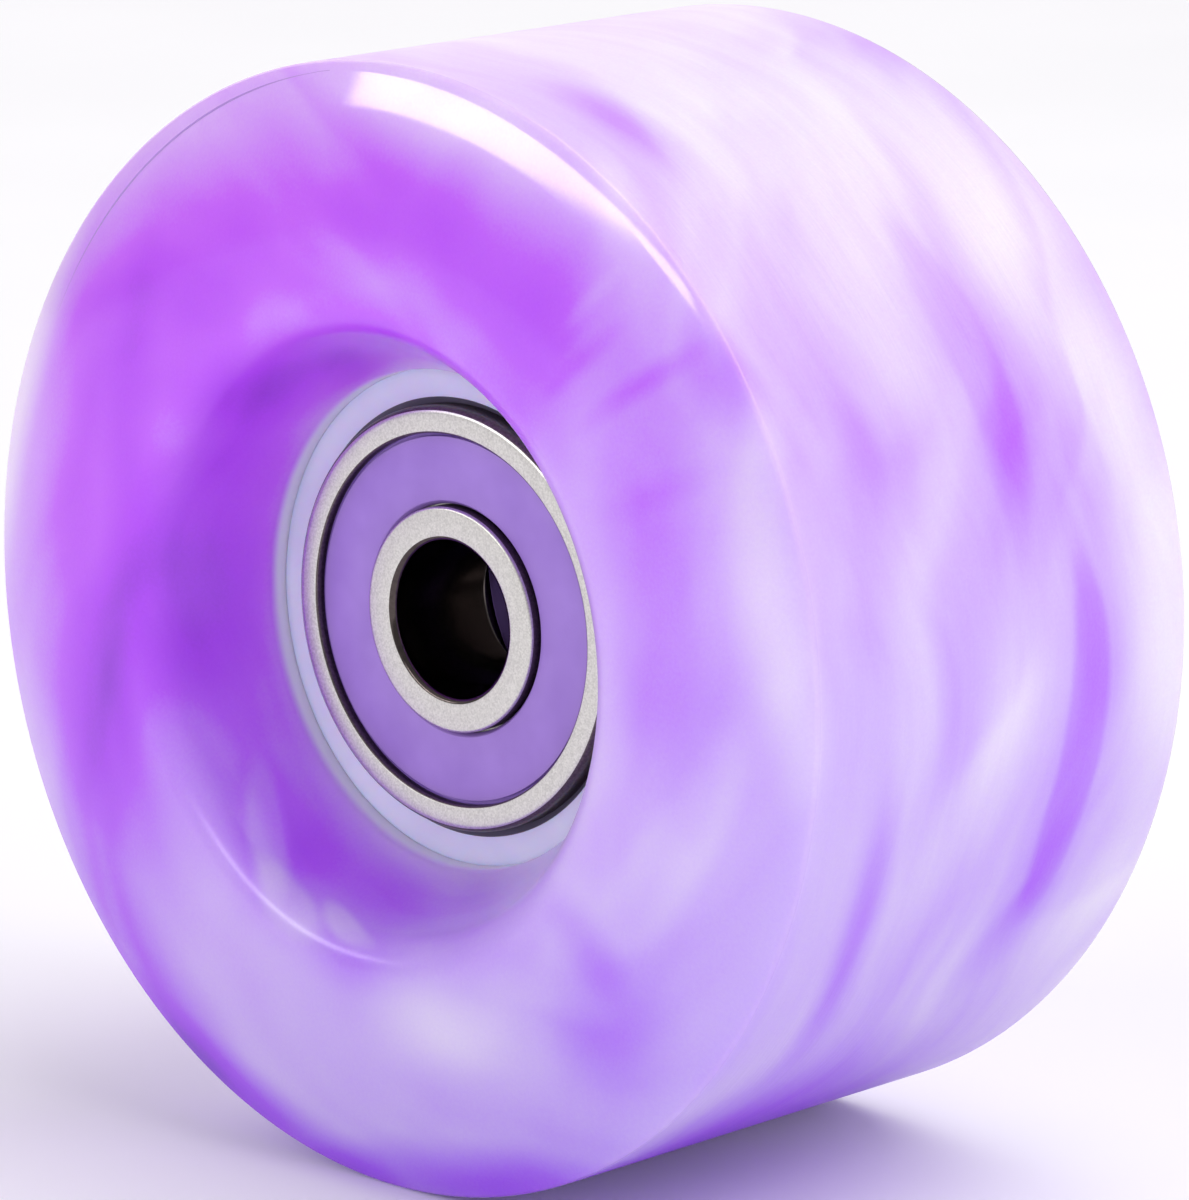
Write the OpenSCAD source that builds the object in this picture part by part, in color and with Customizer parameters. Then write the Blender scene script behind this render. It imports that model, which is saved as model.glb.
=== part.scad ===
// Roller-skate wheel: a cast urethane tyre on a moulded hub, running on two sealed ball bearings.
// The spin axis is Y, the front face looks along -Y, and the origin is the wheel's centre.
// Every round piece is drawn as a profile, radius across and axial distance up, and then revolved.

/* [Tyre] */
// Diameter of the tread
wheel_d = 58; // [54:0.5:66]
// Overall width, lip to lip
wheel_w = 32; // [31:0.5:38]
// Width of the tread, edge to edge
tread_w = 27.7; // [24:0.1:29]
// Round on each edge of the tread
tread_edge_r = 0.35; // [0.2:0.05:0.6]
// Diameter of the highest ring of the lip
crest_d = 37; // [35:0.5:42]
// Round between the lip and the recess
lip_r = 2.6; // [1.5:0.1:3.2]
// Draft of the recess wall, in degrees
recess_draft = 26.5; // [22:0.5:29]
// How far the urethane laps over each face of the hub, in from the hub's edge
hub_lap = 0.75; // [0.4:0.05:1]
// Thickness of that lap
hub_lap_t = 1; // [0.6:0.05:1.4]

/* [Hub] */
// Wall of the hub round the bearings
hub_wall = 1.4; // [0.8:0.05:2]
// How far the hub's end rings stand out from that wall
hub_collar = 1.2; // [0.4:0.05:2]
// Width of each end ring
hub_ring_w = 2.4; // [1.6:0.1:3]
// Round on the outer edge of each end ring
hub_edge_r = 0.7; // [0.3:0.05:1]
// How far the toothed flange round the middle stands out from that wall
key_reach = 4.1; // [2.8:0.1:6.5]
// Width of the toothed flange
key_flange_w = 5; // [3:0.1:7]
// Width of each gap between the flange's teeth
key_gap_w = 5; // [3:0.1:7]
// Depth of each gap between the flange's teeth
key_gap_depth = 2.6; // [1:0.1:3.4]
// Distance between the two bearings
bearing_gap = 5.1; // [4:0.1:10]
// How far the shoulder between the bearings reaches in behind them
seat_ledge = 1.1; // [0.7:0.05:1.2]
// Lead-in chamfer at the mouth of each bearing seat
seat_lead = 0.35; // [0.1:0.05:0.6]
// How far each bearing stands out of the hub's face
bearing_stand = 0.95; // [0.5:0.05:1.5]

/* [Bearing rings] */
// Bore of the bearing
bearing_bore_d = 8; // [7:0.1:8.4]
// Outside diameter of the bearing
bearing_d = 22; // [21.6:0.1:23]
// Width of the bearing
bearing_w = 7; // [6.8:0.1:8]
// Chamfer on the bore and on the outside of the rings
ring_chamfer = 0.44; // [0.2:0.02:0.5]
// Chamfer on the seal side of the rings' faces
face_chamfer = 0.16; // [0.05:0.01:0.2]
// Step down from the inner ring's shoulders to where the seal's lip runs
lip_land_step = 0.2; // [0.1:0.02:0.5]
// Thickness of the outer ring at its mouth, outside the seal
outer_ring_t = 1.4; // [1:0.05:1.8]
// Depth of the groove that holds the seal's rim
seal_groove_depth = 0.25; // [0.15:0.01:0.4]

/* [Balls and cage] */
// Diameter of each ball
ball_d = 3.969; // [3.7:0.001:4.05]
// How much larger the radius of the ball track is than the ball's
track_ease = 0.08; // [0.05:0.01:0.15]
// Radial play between a ball and its track
track_play = 0.03; // [0.02:0.005:0.05]
// Play between a ball and its pocket in the cage
pocket_play = 0.1; // [0.05:0.01:0.15]
// Thickness of the cage, from its bore to its outside
cage_t = 2.45; // [1.6:0.05:2.8]
// Thickness of the cage behind each ball
cage_web_t = 0.28; // [0.1:0.02:0.5]
// Radial room between the cage and the rings' shoulders
cage_room = 0.25; // [0.1:0.05:0.4]
// How far the cage's prongs reach past the balls' centres
prong_reach = 1; // [0.6:0.05:1.2]
// Width of the relief between neighbouring prongs
prong_gap_w = 1.1; // [0.6:0.05:1.4]

/* [Seals] */
// Thickness of the rubber
seal_t = 0.45; // [0.4:0.05:0.5]
// Thickness of the seal's rim in its groove
seal_rim_t = 0.3; // [0.2:0.05:0.35]
// Thickness of the steel plate behind the rubber
plate_t = 0.18; // [0.12:0.02:0.2]
// Width of the rubber left inside and outside the plate
plate_margin = 0.55; // [0.3:0.05:0.8]
// Running gap between the seal's lip and the inner ring
lip_gap = 0.08; // [0.05:0.01:0.12]
// Bevel round the seal's visible face
seal_bevel = 0.15; // [0.05:0.01:0.2]
// Gap between the cage's back and the plate of the seal
cage_gap = 0.1; // [0.05:0.01:0.15]

/* [Hidden] */
$fn = 128;
key_count = 8;
ball_count = 7;
first_ball_angle = 90;
overcut = 1;
sides = ["front", "rear"];
places = ["outside", "inside"];

bearing_r = bearing_d / 2;
bearing_y = (bearing_gap + bearing_w) / 2;
bearing_face = bearing_gap / 2 + bearing_w;
hub_face = bearing_face - bearing_stand;
hub_waist_r = bearing_r + hub_wall;
hub_r = hub_waist_r + hub_collar;
key_flange_r = hub_waist_r + key_reach;

// The sidewall is one arc: level at the crest, and ending at the edge of the tread
wheel_r = wheel_d / 2;
crest_r = crest_d / 2;
sidewall_rise = (wheel_w - tread_w) / 2;
sidewall_run = wheel_r - crest_r;
sidewall_r = (sidewall_run ^ 2 + sidewall_rise ^ 2) / (2 * sidewall_rise);
sidewall_centre = [crest_r, wheel_w / 2 - sidewall_r];

// The round on the tread's edge touches the tread and, from inside, the sidewall's arc
edge_r = wheel_r - tread_edge_r;
edge_rise = sqrt((sidewall_r - tread_edge_r) ^ 2 - (edge_r - crest_r) ^ 2);
edge_centre = [edge_r, sidewall_centre[1] + edge_rise];
edge_outward = (edge_centre - sidewall_centre) / (sidewall_r - tread_edge_r);

// The lip's round touches the recess wall and, from inside, the sidewall's arc
wall_foot = [hub_r - hub_lap, hub_face + hub_lap_t];
wall_along = [sin(recess_draft), cos(recess_draft)];
wall_into = [cos(recess_draft), -sin(recess_draft)];
lip_start = wall_foot + lip_r * wall_into - sidewall_centre;
lip_climb = -(lip_start * wall_along)
    + sqrt((lip_start * wall_along) ^ 2 - lip_start * lip_start + (sidewall_r - lip_r) ^ 2);
lip_centre = wall_foot + lip_r * wall_into + lip_climb * wall_along;
lip_foot = lip_centre - lip_r * wall_into;
lip_outward = (lip_centre - sidewall_centre) / (sidewall_r - lip_r);

// The balls run midway between bore and outside, and the rings' shoulders leave room for their cage
ball_r = ball_d / 2;
pitch_r = (bearing_bore_d + bearing_d) / 4;
track_r = ball_r + track_ease;
track_shift = track_ease - track_play;
inner_land_r = pitch_r - cage_t / 2 - cage_room;
outer_land_r = pitch_r + cage_t / 2 + cage_room;
lip_land_r = inner_land_r - lip_land_step;
seal_mouth_r = bearing_r - outer_ring_t;
seal_groove_r = seal_mouth_r + seal_groove_depth;

// From the balls outwards: cage, gap, plate, seal
cage_back = ball_r + pocket_play + cage_web_t;
plate_back = cage_back + cage_gap;
seal_back = plate_back + plate_t;
seal_top = seal_back + seal_t;
seal_lip_r = lip_land_r + lip_gap;

// Turns a piece drawn with its axis up, front side up, onto the wheel's axis
module on_axis() rotate([90, 0, 0]) children();

// Puts one bearing's piece, drawn about the bearing's own centre with the open side up, on its side
module on_side(side) {
    on_axis() rotate([side == "front" ? 0 : 180, 0, 0]) translate([0, 0, bearing_y]) children();
}

// Turns a seal or plate round for the bearing's inward face
module on_face(place) rotate([place == "outside" ? 0 : 180, 0, 0]) children();

function reversed(points) = [for (i = [len(points) - 1:-1:0]) points[i]];

// The same points on the other side of the middle plane
function flipped(points) = [for (p = points) [p[0], -p[1]]];

// Closes a half outline, whose points run outwards above the middle plane, with its own mirror image below
function mirrored(points) = concat(flipped(points), reversed(points));

// One round above the middle plane and one below it
module rounds(centre, r) {
    for (way = [1, -1]) translate([centre[0], way * centre[1]]) circle(r);
}

// Cast tyre

module tread_band() {
    polygon(mirrored([
        [lip_centre[0], edge_centre[1]],
        [wheel_r, edge_centre[1]]
    ]));
    rounds(edge_centre, tread_edge_r);
}

// One half of the cast body, under its sidewall's arc: from the recess wall out to the round on the tread's edge.
// It reaches a little past the middle plane, so that the two halves join.
module sidewall(way) {
    edge_end = edge_centre + (tread_edge_r + overcut) * edge_outward;
    lap_floor = hub_face - hub_edge_r;
    upper = [
        [bearing_r, -overcut],
        [edge_centre[0], -overcut],
        edge_centre,
        edge_end,
        [edge_end[0], wheel_w / 2 + overcut],
        lip_centre + (lip_r + overcut) * lip_outward,
        lip_centre,
        lip_foot,
        wall_foot,
        [wall_foot[0], lap_floor],
        [bearing_r, lap_floor]
    ];
    intersection() {
        translate([sidewall_centre[0], way * sidewall_centre[1]]) circle(sidewall_r);
        polygon(way > 0 ? upper : reversed(flipped(upper)));
    }
}

module tyre() {
    color("mediumorchid") on_axis() difference() {
        rotate_extrude() {
            tread_band();
            sidewall(1);
            sidewall(-1);
            rounds(lip_centre, lip_r);
        }
        hub_blank();
    }
}

// Moulded hub

module hub_profile() {
    edge = [hub_r - hub_edge_r, hub_face - hub_edge_r];
    polygon(mirrored([
        [0, hub_face],
        [edge[0], hub_face],
        edge,
        [hub_r, edge[1]],
        [hub_r, hub_face - hub_ring_w],
        [hub_waist_r, hub_face - hub_ring_w]
    ]));
    rounds(edge, hub_edge_r);
}

module key_gaps() {
    for (i = [0:key_count - 1]) {
        rotate([0, 0, i * 360 / key_count])
            translate([key_flange_r - key_gap_depth, -key_gap_w / 2, -key_flange_w / 2 - overcut])
                cube([key_gap_depth + overcut, key_gap_w, key_flange_w + 2 * overcut]);
    }
}

module hub_blank() {
    rotate_extrude() hub_profile();
    difference() {
        cylinder(r = key_flange_r, h = key_flange_w, center = true);
        key_gaps();
    }
}

module bearing_seat() {
    translate([0, 0, bearing_gap / 2]) cylinder(r = bearing_r, h = wheel_w);
    translate([0, 0, hub_face - seat_lead])
        cylinder(r1 = bearing_r, r2 = bearing_r + seat_lead + overcut, h = seat_lead + overcut);
}

module hub() {
    color("lavender") on_axis() difference() {
        hub_blank();
        bearing_seat();
        rotate([180, 0, 0]) bearing_seat();
        cylinder(r = bearing_r - seat_ledge, h = wheel_w, center = true);
    }
}

// Bearing rings

module seal_groove(way) {
    width = seal_groove_r - pitch_r;
    translate([pitch_r + width / 2, way * (seal_back + seal_rim_t / 2)])
        square([width, seal_rim_t], center = true);
}

module outer_ring_profile() {
    difference() {
        polygon(mirrored([
            [outer_land_r, plate_back],
            [seal_mouth_r, plate_back],
            [seal_mouth_r, bearing_w / 2 - face_chamfer],
            [seal_mouth_r + face_chamfer, bearing_w / 2],
            [bearing_r - ring_chamfer, bearing_w / 2],
            [bearing_r, bearing_w / 2 - ring_chamfer]
        ]));
        translate([pitch_r - track_shift, 0]) circle(track_r);
        seal_groove(1);
        seal_groove(-1);
    }
}

module outer_ring(side) {
    color("gainsboro") on_side(side) rotate_extrude() outer_ring_profile();
}

module inner_ring_profile() {
    difference() {
        polygon(mirrored([
            [bearing_bore_d / 2, bearing_w / 2 - ring_chamfer],
            [bearing_bore_d / 2 + ring_chamfer, bearing_w / 2],
            [lip_land_r - face_chamfer, bearing_w / 2],
            [lip_land_r, bearing_w / 2 - face_chamfer],
            [lip_land_r, cage_back],
            [inner_land_r, cage_back]
        ]));
        translate([pitch_r + track_shift, 0]) circle(track_r);
    }
}

module inner_ring(side) {
    color("gainsboro") on_side(side) rotate_extrude() inner_ring_profile();
}

// Balls and crown cage

module at_ball(i) {
    rotate([0, 0, first_ball_angle + (i - 1) * 360 / ball_count]) translate([pitch_r, 0, 0]) children();
}

module ball(side, i) {
    color("silver") on_side(side) at_ball(i) sphere(ball_r);
}

module cage_blank() {
    rotate_extrude() translate([pitch_r - cage_t / 2, -prong_reach])
        square([cage_t, prong_reach + cage_back]);
}

// Round-bottomed relief between the prongs of two neighbouring pockets
module prong_gap() {
    length = cage_t + 2 * overcut;
    rotate([0, 90, 0]) cylinder(d = prong_gap_w, h = length, center = true);
    translate([-length / 2, -prong_gap_w / 2, -prong_reach - overcut])
        cube([length, prong_gap_w, prong_reach + overcut]);
}

module cage(side) {
    color("dimgray") on_side(side) difference() {
        cage_blank();
        for (i = [1:ball_count]) {
            at_ball(i) sphere(ball_r + pocket_play);
            at_ball(i + 0.5) prong_gap();
        }
    }
}

// Rubber seals, each on a steel plate

module seal_profile() {
    polygon([
        [seal_lip_r, seal_back],
        [seal_lip_r, seal_top - seal_bevel],
        [seal_lip_r + seal_bevel, seal_top],
        [seal_mouth_r - 2 * seal_bevel, seal_top],
        [seal_mouth_r - seal_bevel, seal_back + seal_rim_t],
        [seal_groove_r, seal_back + seal_rim_t],
        [seal_groove_r, seal_back]
    ]);
}

module seal(side, place) {
    color("mediumpurple") on_side(side) on_face(place) rotate_extrude() seal_profile();
}

module plate_profile() {
    inside_r = seal_lip_r + plate_margin;
    outside_r = seal_mouth_r - plate_margin;
    translate([inside_r, plate_back]) square([outside_r - inside_r, plate_t]);
}

module plate(side, place) {
    color("lightsteelblue") on_side(side) on_face(place) rotate_extrude() plate_profile();
}

tyre();
hub();
for (s = sides) {
    outer_ring(s);
    inner_ring(s);
    cage(s);
    for (i = [1:ball_count]) {
        ball(s, i);
    }
    for (p = places) {
        seal(s, p);
        plate(s, p);
    }
}
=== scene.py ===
import bpy
import math
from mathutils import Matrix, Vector


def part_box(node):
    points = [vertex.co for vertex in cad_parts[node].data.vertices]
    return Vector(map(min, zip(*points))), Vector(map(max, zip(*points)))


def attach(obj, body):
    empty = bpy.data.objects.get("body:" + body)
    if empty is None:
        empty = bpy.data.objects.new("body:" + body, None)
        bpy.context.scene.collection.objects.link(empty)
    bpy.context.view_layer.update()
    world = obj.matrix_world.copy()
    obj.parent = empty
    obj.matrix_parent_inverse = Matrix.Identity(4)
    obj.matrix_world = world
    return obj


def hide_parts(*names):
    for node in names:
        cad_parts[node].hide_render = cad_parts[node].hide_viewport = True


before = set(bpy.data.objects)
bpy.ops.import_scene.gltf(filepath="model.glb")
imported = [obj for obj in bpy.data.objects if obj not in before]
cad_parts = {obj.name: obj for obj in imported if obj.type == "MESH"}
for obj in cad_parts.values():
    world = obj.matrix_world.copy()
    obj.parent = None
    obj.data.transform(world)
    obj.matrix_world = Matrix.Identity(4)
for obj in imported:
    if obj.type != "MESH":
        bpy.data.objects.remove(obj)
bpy.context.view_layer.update()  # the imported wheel: bodies, nodes, joints and record
mm = 0.001
weldGap = 0.0005 * mm  # points closer than this become one
bpy.context.scene.view_settings.view_transform = "Standard"  # keeps the violets as clear as a product photo
print("frame loaded with", len(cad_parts), "nodes")

# sizes that the solids already hold, in mm
treadRadius = round(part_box("tyre")[1].x / mm, 2)
hubFace = round(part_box("hub")[1].y / mm, 2)
bearingRadius = round(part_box("rear_outer_ring")[1].x / mm, 2)
bearingFace = round(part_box("rear_outer_ring")[1].y / mm, 2)
bearingBack = round(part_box("rear_outer_ring")[0].y / mm, 2)
bearingMiddle = (bearingFace + bearingBack) / 2
sealTop = round(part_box("rear_seal_outside")[1].y / mm, 3) - bearingMiddle  # from the bearing's own middle
sealBack = round(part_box("rear_seal_outside")[0].y / mm, 3) - bearingMiddle
plateBack = round(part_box("rear_plate_outside")[0].y / mm, 3) - bearingMiddle
cageBack = round(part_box("rear_cage")[1].y / mm, 3) - bearingMiddle
sealRim = round(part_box("rear_seal_outside")[1].x / mm, 3)
ballRadius = round((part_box("rear_ball_1")[1].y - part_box("rear_ball_1")[0].y) / 2 / mm, 3)
lapRadius = 12.85  # the urethane laps this far in over the hub's face


def arc(centre, radius, start, end, steps):  # points along a round, in degrees
    angles = [math.radians(start + (end - start) * i / steps) for i in range(steps + 1)]
    return [(centre[0] + radius * math.cos(a), centre[1] + radius * math.sin(a)) for a in angles]


def angleOf(vector):
    return math.degrees(math.atan2(vector[1], vector[0]))


def turnOf(point):  # degrees round the axle
    return angleOf((point.x, point.z))


def radiusOf(point):  # mm from the axle
    return math.hypot(point.x, point.z) / mm


def bothHalves(points, middle):  # closes a half outline with its mirror image across the middle
    upper = [(r, middle + y) for r, y in points]
    lower = [(r, middle - y) for r, y in reversed(points)]
    return upper + lower + upper[:1]


def pick(piece):  # the operators that follow act on this piece alone
    bpy.ops.object.select_all(action="DESELECT")
    piece.select_set(True)
    bpy.context.view_layer.objects.active = piece


def label(piece, name):
    piece.name = name
    piece.data.name = name


def turnOutwards(piece):  # welds stray points, then points every face outwards
    pick(piece)
    bpy.ops.object.mode_set(mode="EDIT")
    bpy.ops.mesh.select_all(action="SELECT")
    bpy.ops.mesh.remove_doubles(threshold=weldGap)
    bpy.ops.mesh.normals_make_consistent(inside=False)
    bpy.ops.object.mode_set(mode="OBJECT")


def turnOnLathe(name, points, turns):  # one point drawn out along (radius, place on the axle), then spun
    bpy.ops.object.select_all(action="DESELECT")
    bpy.ops.mesh.primitive_plane_add(size=mm)
    piece = bpy.context.object
    label(piece, name)
    bpy.ops.object.mode_set(mode="EDIT")
    bpy.ops.mesh.merge(type="CENTER")
    bpy.ops.transform.translate(value=(points[0][0] * mm, points[0][1] * mm, 0))
    for (r0, y0), (r1, y1) in zip(points, points[1:]):
        step = ((r1 - r0) * mm, (y1 - y0) * mm, 0)
        bpy.ops.mesh.extrude_region_move(TRANSFORM_OT_translate={"value": step})
    bpy.ops.mesh.select_all(action="SELECT")
    bpy.ops.mesh.remove_doubles(threshold=weldGap)  # a closed outline meets its own start
    bpy.ops.mesh.select_all(action="SELECT")
    bpy.ops.mesh.spin(steps=turns, angle=math.tau, center=(0, 0, 0), axis=(0, 1, 0))
    bpy.ops.object.mode_set(mode="OBJECT")
    turnOutwards(piece)
    return piece


def applyModifier(piece, kind, **settings):
    pick(piece)
    modifier = piece.modifiers.new(kind.lower(), kind)
    for key, value in settings.items():
        setattr(modifier, key, value)
    bpy.ops.object.modifier_apply(modifier=modifier.name)


def mirrorAcross(piece):  # the other half, on the other side of the wheel's middle
    applyModifier(piece, "MIRROR", use_axis=(False, True, False), merge_threshold=weldGap)
    turnOutwards(piece)


def smoothPiece(piece, creaseDeg):  # edges that turn more than this stay sharp
    pick(piece)
    bpy.ops.object.shade_smooth_by_angle(angle=math.radians(creaseDeg))


def halfTurnCopy(piece, name, centre):  # own mesh, turned round a line that stands up through centre
    pick(piece)
    bpy.ops.object.duplicate(linked=False)
    copy = bpy.context.object
    label(copy, name)
    bpy.ops.object.mode_set(mode="EDIT")
    bpy.ops.mesh.select_all(action="SELECT")
    bpy.ops.transform.rotate(value=math.pi, orient_axis="Z", center_override=centre)
    bpy.ops.object.mode_set(mode="OBJECT")
    return copy


def fitPiece(piece, material, body, slot, *nodes):  # finish, carrier and the solids that it stands for
    piece.data.materials.clear()
    piece.data.materials.append(material)
    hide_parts(*nodes)
    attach(piece, body)


def finishFaces(piece, material, isChosen):  # a second finish, on the faces that a test picks
    piece.data.materials.append(material)
    for face in piece.data.polygons:
        if isChosen(face):
            face.material_index = len(piece.data.materials) - 1


def finishWalls(piece, material, innermost, outermost, lean):  # on walls round the axle, up to a lean
    def isWall(face):
        return abs(face.normal.y) < lean and innermost < radiusOf(face.center) < outermost
    finishFaces(piece, material, isWall)


uprightLean = 0.1  # a wall that leans less than this along the axle counts as upright

# Material helpers
glowShare = 0.6  # of the light that falls on a milky plastic, so much enters it
reliefMm = {"cast": 0.1, "turned": 0.02, "moulded": 0.03}  # height of the surface relief
cloudGrains = 20  # a patch of tone on a moulding is this many grains wide


def linear(hexText):  # sRGB hex to the linear colour that a shader takes
    shares = [int(hexText[i:i + 2], 16) / 255 for i in (1, 3, 5)]
    return [s / 12.92 if s <= 0.04045 else ((s + 0.055) / 1.055) ** 2.4 for s in shares] + [1]


def addNode(tree, kind, settings=None, links=None):  # a link from a node is from its first output
    node = tree.nodes.new("ShaderNode" + kind)
    for key, value in (settings or {}).items():
        if isinstance(key, str) and hasattr(node, key):
            setattr(node, key, value)
        else:
            node.inputs[key].default_value = value
    for key, source in (links or {}).items():
        output = source.outputs[0] if isinstance(source, bpy.types.Node) else source
        tree.links.new(output, node.inputs[key])
    return node


def newMaterial(name):
    material = bpy.data.materials.new(name)
    material.use_nodes = True
    material.node_tree.nodes.clear()
    return material, material.node_tree


def placeInMm(tree):  # the point on the piece, in mm from the wheel's middle
    place = addNode(tree, "TexCoord")
    return addNode(tree, "VectorMath", {"operation": "SCALE", "Scale": 1 / mm}, {0: place.outputs["Object"]})


def fromAxle(tree, here):  # mm from the axle to a point
    flat = addNode(tree, "VectorMath", {"operation": "MULTIPLY", 1: (1, 0, 1)}, {0: here})
    return addNode(tree, "VectorMath", {"operation": "LENGTH"}, {0: flat}).outputs["Value"]


def setRamp(node, stops):  # a colour ramp from (place, hex) stops
    elements = node.color_ramp.elements
    while len(elements) < len(stops):
        elements.new(0.5)
    for element, (place, hexText) in zip(elements, stops):
        element.position = place
        element.color = linear(hexText)


def twoTone(tree, pattern, colours):  # noise seldom leaves its middle, so both tones lie there
    tint = addNode(tree, "ValToRGB", {}, {"Fac": pattern})
    setRamp(tint, [(0.3, colours[0]), (0.7, colours[1])])
    return tint


# Cast urethane: two batches of resin poured into one mould, so violet drifts through milky white.
# The eye gets soft clouds, streaks drawn out round the axle and a slight glow, as light enters the resin.
urethane = {
    "level": 0.44,  # how violet the mix is before the pours below
    "swirlMm": 18, "swirlReachMm": 5,  # size of the eddies, and how far they carry the colour
    "eddyMm": 6, "eddyReachMm": 0.8,
    "pourDrift": 0.3,  # the pours came last, so the eddies carried them less far
    "twistOutDeg": 4, "twistAlongDeg": 3,  # shear per mm outwards and along the axle
    "streakMm": 14, "streakShare": 0.36,
    "threadMm": 8, "threadShare": 0.05,
    "foldMm": 21, "folds": 3.5, "foldShare": 0.07,  # one batch laps over the other,
    "foldStops": [(0.0, "#000000"), (0.22, "#ffffff"), (1.0, "#000000")],  # steep on one side of the lap only
    "brushMm": (12, 1.6, 12), "brushShare": 0.12,  # wisps drawn out round the tread
    "speckMm": 0.16, "speckShare": 0.05,  # pigment grain, drawn coarser than the real one
    "hueWay": (-0.6, 0.0, 0.8), "hueReachMm": 29,  # magenta batch up and left
    "hueMiddle": 0.502, "hueShift": 0.014,
    "shade": "#e4e0ef", "shadeReachMm": (5, -29),  # painted shade: darker and cooler towards the bottom
    "dullRadiusMm": (15, 23),  # the recess came off a less polished core
    "lapFadeMm": (0.5, 1.15), "lapColour": "#dad3f3",  # the resin thins out over the pale hub
    "ior": 1.5, "glowMm": 0.9, "glowSpread": (1, 0.8, 1.2),  # blue goes furthest in, so shadows stay violet
    "stops": [(0.0, "#fdfaff"), (0.18, "#f1e8fc"), (0.36, "#dcc4fa"), (0.54, "#c998fb"), (0.7, "#bb62fb"),
              (0.84, "#af4cf4"), (1.0, "#8638ce"), (1.2, "#6a2aa8")],
}
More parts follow.
